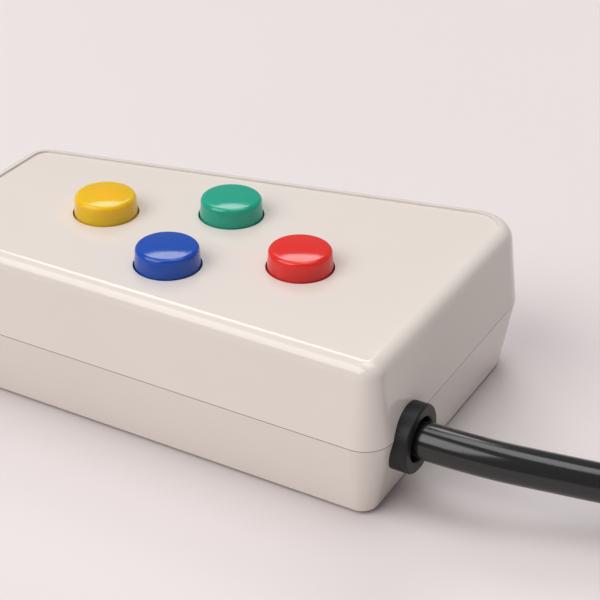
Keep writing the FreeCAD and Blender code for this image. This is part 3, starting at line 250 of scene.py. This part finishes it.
def laminate(name):
    """Green solder mask that stands up over a net of copper tracks."""
    material, tree, shader, place = start_material(name)
    pattern = tree.nodes.new("ShaderNodeTexBrick")
    put(pattern, "Scale", 1 / (TRACK_PITCH * MM))
    put(pattern, "Mortar Size", TRACK_SHARE)
    put(pattern, "Mortar Smooth", TRACK_SOFTNESS)
    put(pattern, "Color1", BLACK_PAINT)
    put(pattern, "Color2", BLACK_PAINT)
    put(pattern, "Mortar", WHITE_PAINT)
    tree.links.new(place, pattern.inputs["Vector"])
    tracks = pattern.outputs["Color"]
    tree.links.new(mix(tree, tracks, MASK_COLOUR, TRACK_COLOUR), shader.inputs["Base Color"])
    grain = noise(tree, place, MASK_GRAIN_SIZE, GRAIN_DETAIL)
    gloss = spread(tree, grain, MASK_SMOOTHEST, MASK_DULLEST)
    tree.links.new(gloss, shader.inputs["Roughness"])
    low = bump(tree, grain, MASK_GRAIN_DEPTH)
    tree.links.new(bump(tree, tracks, TRACK_HEIGHT, onto=low), shader.inputs["Normal"])
    return material


# The woven strap round the coil

STRAP_COLOUR = (0.02, 0.02, 0.022)
THREAD_PITCH = 0.7
THREAD_DEPTH = 0.12
THREAD_WANDER = 1.5
THREAD_WANDER_SCALE = 6
# A wave texture at scale 1 makes about this many bands in a metre
BANDS_PER_METRE = 3.2
NAP_SIZE = 0.25
NAP_DEPTH = 0.1
NAP_DARKEST = 0.6
NAP_LIGHTEST = 1.5
NAP_SMOOTHEST = 0.8
NAP_DULLEST = 0.95
SHEEN = 0.35
SHEEN_ROUGHNESS = 0.4


def woven(name, colour, pitch):
    """Crossing threads with a nap of loops."""
    material, tree, shader, place = start_material(name)
    threads = None
    for direction in ("X", "Y"):
        wave = tree.nodes.new("ShaderNodeTexWave")
        wave.bands_direction = direction
        put(wave, "Scale", 1 / (pitch * MM) / BANDS_PER_METRE)
        put(wave, "Distortion", THREAD_WANDER)
        put(wave, "Detail Scale", THREAD_WANDER_SCALE)
        tree.links.new(place, wave.inputs["Vector"])
        threads = bump(tree, wave.outputs["Fac"], THREAD_DEPTH, onto=threads)
    nap = noise(tree, place, NAP_SIZE, CLOUD_DETAIL)
    dark = shade(colour, NAP_DARKEST)
    light = shade(colour, NAP_LIGHTEST)
    tree.links.new(mix(tree, spread(tree, nap, 0, 1), dark, light), shader.inputs["Base Color"])
    tree.links.new(bump(tree, nap, NAP_DEPTH, onto=threads), shader.inputs["Normal"])
    gloss = spread(tree, nap, NAP_SMOOTHEST, NAP_DULLEST)
    tree.links.new(gloss, shader.inputs["Roughness"])
    put(shader, "Sheen Weight", SHEEN)
    put(shader, "Sheen Roughness", SHEEN_ROUGHNESS)
    return material


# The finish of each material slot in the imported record

PARTING_HEIGHT = 15.35
STEEL = (0.62, 0.62, 0.6)
BLACK = (0.0095, 0.0088, 0.0098)
BUTTON_LOOK = dict(roughness=0.08, mottle=0.02, inside=0.8)
WIRE_LOOK = dict(roughness=0.4, mottle=0.05)

MOULDED = {
    # The case's finish has a line of painted shade along the joint between the shells.
    "case_plastic": dict(colour=(0.76, 0.695, 0.65), roughness=0.12, mottle=0.012,
                         mottle_size=30, grain_size=0.5, grain_depth=0.001,
                         swell_depth=0.004, seam=PARTING_HEIGHT),
    "foot_rubber": dict(colour=(0.03, 0.03, 0.03), roughness=0.75, mottle=0.2, grain_depth=0.03),
    "screw_steel": dict(colour=STEEL, roughness=0.32, mottle=0.08, mottle_size=2,
                        grain_size=0.15, metal=1.0),
    "button_yellow": dict(colour=(0.97, 0.5, 0.002), **BUTTON_LOOK),
    "button_blue": dict(colour=(0.003, 0.075, 0.44), **BUTTON_LOOK),
    "button_green": dict(colour=(0.006, 0.37, 0.25), **BUTTON_LOOK),
    "button_red": dict(colour=(0.77, 0.02, 0.015), **BUTTON_LOOK),
    "switch_plastic": dict(colour=(0.02, 0.02, 0.021), roughness=0.5, mottle=0.1, mottle_size=2),
    "switch_metal": dict(colour=STEEL, roughness=0.3, mottle=0.05, metal=1.0,
                         brushed=(1, 12, 1)),
    "tinned_metal": dict(colour=(0.68, 0.67, 0.65), roughness=0.3, mottle=0.08, mottle_size=1,
                         metal=1.0),
    "chip_resin": dict(colour=(0.016, 0.016, 0.018), roughness=0.55, mottle=0.1,
                       grain_depth=0.01),
    "ceramic": dict(colour=(0.36, 0.24, 0.13), roughness=0.6, mottle=0.12, mottle_size=0.6),
    "nylon": dict(colour=(0.72, 0.7, 0.62), roughness=0.45, mottle=0.04, inside=0.2),
    "cable_jacket": dict(colour=BLACK, roughness=0.17, mottle=0.15, grain_size=0.5,
                         swell_depth=0.02, shine=0.6),
    "wire_red": dict(colour=(0.5, 0.02, 0.015), **WIRE_LOOK),
    "wire_white": dict(colour=(0.7, 0.7, 0.67), **WIRE_LOOK),
    "wire_green": dict(colour=(0.02, 0.3, 0.06), **WIRE_LOOK),
    "wire_black": dict(colour=BLACK, roughness=0.4, mottle=0.1),
    "grommet_rubber": dict(colour=(0.008, 0.008, 0.009), roughness=0.45, mottle=0.2,
                           grain_depth=0.01, swell_depth=0.03, shine=0.35),
    "plug_moulding": dict(colour=(0.018, 0.018, 0.019), roughness=0.45, mottle=0.1,
                          grain_depth=0.01),
    "plug_metal": dict(colour=(0.66, 0.65, 0.62), roughness=0.22, mottle=0.04, metal=1.0,
                       brushed=(1, 9, 9)),
    "plug_gold": dict(colour=(0.8, 0.55, 0.2), roughness=0.25, mottle=0.04, metal=1.0),
}


def make_finishes():
    finishes = {name: moulded(name, **look) for name, look in MOULDED.items()}
    finishes["board_laminate"] = laminate("board_laminate")
    finishes["tie_fabric"] = woven("tie_fabric", STRAP_COLOUR, THREAD_PITCH)
    return finishes


def paint_nodes(finishes):
    """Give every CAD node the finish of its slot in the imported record."""
    for part in frame["record"]["subparts"]:
        materials = nodes[part["node"]].data.materials
        materials.clear()
        materials.append(finishes[part["material_slot"]])


# The cable, whose free run has the points of the part's source and whose coil is worked out

CABLE_DIAMETER = 7.0
CABLE_START = (50.0, -22.1, 12.95)
CABLE_POINTS = [
    (65.0, -22.1, 12.95),
    (80.0, -17.75, 11.6),
    (96.0, -11.45, 9.1),
    (109.2, -10.9, 6.3),
]
COIL_HEADING = -28.0
COIL_ENTRY = (132.0, -19.7, 4.4)
COIL_RUN_IN = 12.0
COIL_LEAD_IN = 2.0
COIL_RADIUS = 44.6
COIL_PITCH = 7.6
COIL_HALF_TURNS = 4
COIL_DEPTH = COIL_HALF_TURNS * COIL_PITCH / 2
COIL_LAYERS = 3
COIL_LAST_TURN = 60.0
COIL_LEAD_OUT = 7.0
PLUG_LIFT = 0.6
HALF_TURN_POINTS = 8
CURVE_ORDER = 3
CURVE_STEPS = 6
ROUND_STEPS = 7


def heading(degrees):
    turn = math.radians(degrees)
    return Vector((math.cos(turn), math.sin(turn), 0))


def coil_turns():
    """Radius and rise of each half turn: in, out and in again, with a climb at each change."""
    inner = COIL_RADIUS - COIL_DEPTH
    flat = [COIL_RADIUS - index * COIL_PITCH / 2 for index in range(COIL_HALF_TURNS)]
    turns = [(bend, 0.0) for bend in flat] + [(inner, COIL_PITCH)]
    turns += [(bend, 0.0) for bend in reversed(flat[1:])] + [(COIL_RADIUS, COIL_PITCH)]
    turns += [(bend, 0.0) for bend in flat[1:]] + [(inner, COIL_PITCH + PLUG_LIFT)]
    return turns, flat[-1]


def arc_points(spot, ahead, left, bend, rise, degrees):
    """Control points round one arc, at the corners of the outline that touches it."""
    centre = spot + left * bend
    count = round(HALF_TURN_POINTS * degrees / 180)
    half_step = math.radians(degrees) / count / 2
    corner = bend / math.cos(half_step)
    points = []
    for index in range(count):
        turn = (2 * index + 1) * half_step
        out = ahead * corner * math.sin(turn) - left * corner * math.cos(turn)
        climb = rise * (1 - math.cos(turn)) / 2
        points.append(centre + out + Vector((0, 0, climb)))
    return points


def coil_points(entry):
    """Points of the coil, worked out turn by turn, to where the plug's hood begins."""
    ahead = heading(COIL_HEADING)
    left = heading(COIL_HEADING + 90)
    spot = entry + ahead * COIL_LEAD_IN
    points = []
    turns, last_bend = coil_turns()
    for bend, rise in turns:
        points += arc_points(spot, ahead, left, bend, rise, 180)
        spot = spot + left * 2 * bend + Vector((0, 0, rise))
        ahead = -ahead
        left = -left
    points += arc_points(spot, ahead, left, last_bend, 0.0, COIL_LAST_TURN)
    turn = math.radians(COIL_LAST_TURN)
    far = spot + left * last_bend * (1 - math.cos(turn)) + ahead * last_bend * math.sin(turn)
    ahead = ahead * math.cos(turn) + left * math.sin(turn)
    return points + [far + ahead * COIL_LEAD_OUT]


def cable_route():
    entry = Vector(COIL_ENTRY)
    points = [Vector(CABLE_START)] + [Vector(point) for point in CABLE_POINTS]
    points += [entry - heading(COIL_HEADING) * COIL_RUN_IN, entry]
    return points + coil_points(entry)


def make_cable(finish):
    points = cable_route()
    data = bpy.data.curves.new("data_cable", "CURVE")
    data.dimensions = "3D"
    line = data.splines.new("NURBS")
    line.points.add(len(points) - 1)
    for target, point in zip(line.points, points):
        target.co = (*(point * MM), 1)
    line.order_u = CURVE_ORDER
    line.use_endpoint_u = True
    data.resolution_u = CURVE_STEPS
    data.bevel_depth = CABLE_DIAMETER / 2 * MM
    data.bevel_resolution = ROUND_STEPS
    data.use_fill_caps = True
    data.materials.append(finish)
    cable = add_object("data_cable", data)
    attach(cable, "case")
    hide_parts("cable", "cable_coil")
    return cable


# The strap round the coil, a closed band with an overlapping end on its outside

TIE_WIDTH = 9.0
TIE_THICKNESS = 0.6
TIE_GAP = 0.25
TIE_BEND = 1.9
TIE_EDGE = 0.18
TIE_EDGE_STEPS = 2
TIE_CORNER_STEPS = 8
TIE_STEPS = 120
OVERLAP_START = 0.62
OVERLAP_END = 0.95
OVERLAP_INSIDE = TIE_THICKNESS + 0.02
OVERLAP_OUTSIDE = TIE_THICKNESS * 1.9
OVERLAP_INSET = 0.3


def tie_outline(grow):
    """Corner arcs of the strap's outline in its own plane, moved outward by grow."""
    half = CABLE_DIAMETER / 2
    hole = COIL_RADIUS - COIL_DEPTH - half
    bow = hole - math.sqrt(hole ** 2 - TIE_WIDTH ** 2 / 4)
    climb = (COIL_LAYERS - 1) * COIL_PITCH
    bend = TIE_BEND + grow
    near = -half - TIE_GAP - grow + bend
    far = COIL_DEPTH + half + TIE_GAP + bow + grow - bend
    low = COIL_ENTRY[2] - half - TIE_GAP - grow + bend
    high = COIL_ENTRY[2] + climb + half + TIE_GAP + grow - bend
    corners = ((far, high, 90), (far, low, 0), (near, low, -90), (near, high, -180))
    outline = []
    for across, height, first in corners:
        for step in range(TIE_CORNER_STEPS + 1):
            turn = math.radians(first - step * 90 / TIE_CORNER_STEPS)
            outline.append(Vector((across + bend * math.cos(turn), height + bend * math.sin(turn))))
    return outline


def points_along(outline, start, end):
    """Evenly spaced points of a closed outline, between two shares of the way round."""
    closed = outline + outline[:1]
    reached = [0.0]
    for here, there in zip(closed, closed[1:]):
        reached.append(reached[-1] + (there - here).length)
    points = []
    for index in range(int(start * TIE_STEPS), int(end * TIE_STEPS) + 1):
        wanted = (index / TIE_STEPS * reached[-1]) % reached[-1]
        before = bisect.bisect_right(reached, wanted) - 1
        share = (wanted - reached[before]) / (reached[before + 1] - reached[before])
        points.append(closed[before].lerp(closed[before + 1], share))
    return points


def tie_point(point, side):
    """A point of the strap's plane, moved along the cable by side, in the scene's metres."""
    ahead = heading(COIL_HEADING)
    left = heading(COIL_HEADING + 90)
    spot = Vector(COIL_ENTRY) + ahead * (COIL_LEAD_IN + side) + left * point.x
    spot.z = point.y
    return spot * MM


def add_band(form, inside, outside, width, start=0.0, end=1.0):
    """One layer of the strap, between two distances out from its inner outline."""
    inner = points_along(tie_outline(inside), start, end)
    outer = points_along(tie_outline(outside), start, end)
    closed = (start, end) == (0.0, 1.0)
    if closed:
        inner.pop()
        outer.pop()
    sides = (-width / 2, -width / 6, width / 6, width / 2)
    rings = []
    for inner_point, outer_point in zip(inner, outer):
        places = [tie_point(outer_point, side) for side in sides]
        places += [tie_point(inner_point, side) for side in reversed(sides)]
        rings.append([form.verts.new(place) for place in places])
    following = rings[1:] + rings[:1] if closed else rings[1:]
    for here, there in zip(rings, following):
        for index, corner in enumerate(here):
            after = (index + 1) % len(here)
            form.faces.new((corner, here[after], there[after], there[index]))
    if not closed:
        form.faces.new(rings[0][::-1])
        form.faces.new(rings[-1])


def make_tie(finish):
    form = bmesh.new()
    add_band(form, 0.0, TIE_THICKNESS, TIE_WIDTH)
    add_band(form, OVERLAP_INSIDE, OVERLAP_OUTSIDE, TIE_WIDTH - OVERLAP_INSET,
             OVERLAP_START, OVERLAP_END)
    bmesh.ops.recalc_face_normals(form, faces=form.faces)
    mesh = bpy.data.meshes.new("coil_strap")
    form.to_mesh(mesh)
    form.free()
    mesh.materials.append(finish)
    strap = add_object("coil_strap", mesh)
    edge = strap.modifiers.new("edge", "BEVEL")
    edge.width = TIE_EDGE * MM
    edge.segments = TIE_EDGE_STEPS
    edge.limit_method = "ANGLE"
    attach(strap, "case")
    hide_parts("coil_tie")
    return strap


# The floor, a sheet of plain pale paper

FLOOR_REACH = 3000.0
PAPER_DARK = (0.745, 0.688, 0.694)
PAPER_LIGHT = (0.765, 0.707, 0.713)
PAPER_CLOUD_SIZE = 250.0
PAPER_CLOUD_DETAIL = 2
PAPER_ROUGHNESS = 0.8


def paper():
    material, tree, shader, place = start_material("paper")
    cloud = noise(tree, place, PAPER_CLOUD_SIZE, PAPER_CLOUD_DETAIL)
    tint = mix(tree, spread(tree, cloud, 0, 1), PAPER_DARK, PAPER_LIGHT)
    tree.links.new(tint, shader.inputs["Base Color"])
    put(shader, "Roughness", PAPER_ROUGHNESS)
    return material


def make_floor():
    data = bpy.data.meshes.new("floor")
    form = bmesh.new()
    bmesh.ops.create_grid(form, x_segments=2, y_segments=2, size=FLOOR_REACH * MM)
    form.to_mesh(data)
    form.free()
    data.materials.append(paper())
    floor = add_object("floor", data)


# The world and the lamps

AMBIENT_COLOUR = (1.0, 0.985, 0.97)
AMBIENT_LEVEL = 0.3
BACKDROP_COLOUR = (0.84, 0.77, 0.755)
BACKDROP_LEVEL = 1.0
LAMP_AIM = Vector((0, -10, 20)) * MM
WHITE = (1.0, 1.0, 1.0)
# Distances and sizes are in metres, and level is how bright a white face turned to the lamp is
LAMPS = {
    "key": dict(direction=(-0.37, -0.6, 0.71), distance=3.2, width=2.8, height=2.3, level=0.66,
                colour=(1.0, 0.985, 0.965)),
    "top": dict(direction=(0.05, 0.2, 0.98), distance=3.6, width=2.6, height=1.9, level=0.36,
                colour=WHITE),
    "back": dict(direction=(-0.4, 0.6, 0.71), distance=3.2, width=1.4, height=0.9, level=0.16,
                 colour=WHITE),
}


def background(tree, colour, level):
    node = tree.nodes.new("ShaderNodeBackground")
    put(node, "Color", (*colour, 1))
    put(node, "Strength", level)
    return node.outputs["Background"]


def make_world():
    """Soft ambient light, behind which the camera sees a backdrop in the floor's tone."""
    world = bpy.data.worlds.new("world")
    scene.world = world
    world.use_nodes = True
    tree = world.node_tree
    tree.nodes.clear()
    path = tree.nodes.new("ShaderNodeLightPath")
    seen = tree.nodes.new("ShaderNodeMath")
    seen.operation = "MAXIMUM"
    for target, ray in zip(seen.inputs, ("Is Camera Ray", "Is Transmission Ray")):
        tree.links.new(path.outputs[ray], target)
    choice = tree.nodes.new("ShaderNodeMixShader")
    factor, ambient, backdrop = choice.inputs
    tree.links.new(seen.outputs["Value"], factor)
    tree.links.new(background(tree, AMBIENT_COLOUR, AMBIENT_LEVEL), ambient)
    tree.links.new(background(tree, BACKDROP_COLOUR, BACKDROP_LEVEL), backdrop)
    out = tree.nodes.new("ShaderNodeOutputWorld")
    tree.links.new(choice.outputs["Shader"], out.inputs["Surface"])


def make_lamp(name, direction, distance, width, height, level, colour):
    towards = Vector(direction).normalized()
    data = bpy.data.lights.new(name, "AREA")
    data.shape = "RECTANGLE"
    data.size = width
    data.size_y = height
    data.energy = level * math.pi ** 2 * distance ** 2
    data.color = colour
    lamp = add_object(name, data)
    lamp.location = LAMP_AIM + towards * distance
    lamp.rotation_euler = towards.to_track_quat("Z", "Y").to_euler()


make_camera()
finishes = make_finishes()
paint_nodes(finishes)
cable = make_cable(finishes["cable_jacket"])
strap = make_tie(finishes["tie_fabric"])
make_floor()
make_world()
for name, lamp in LAMPS.items():
    make_lamp(name, **lamp)
scene.view_settings.view_transform = "Standard"
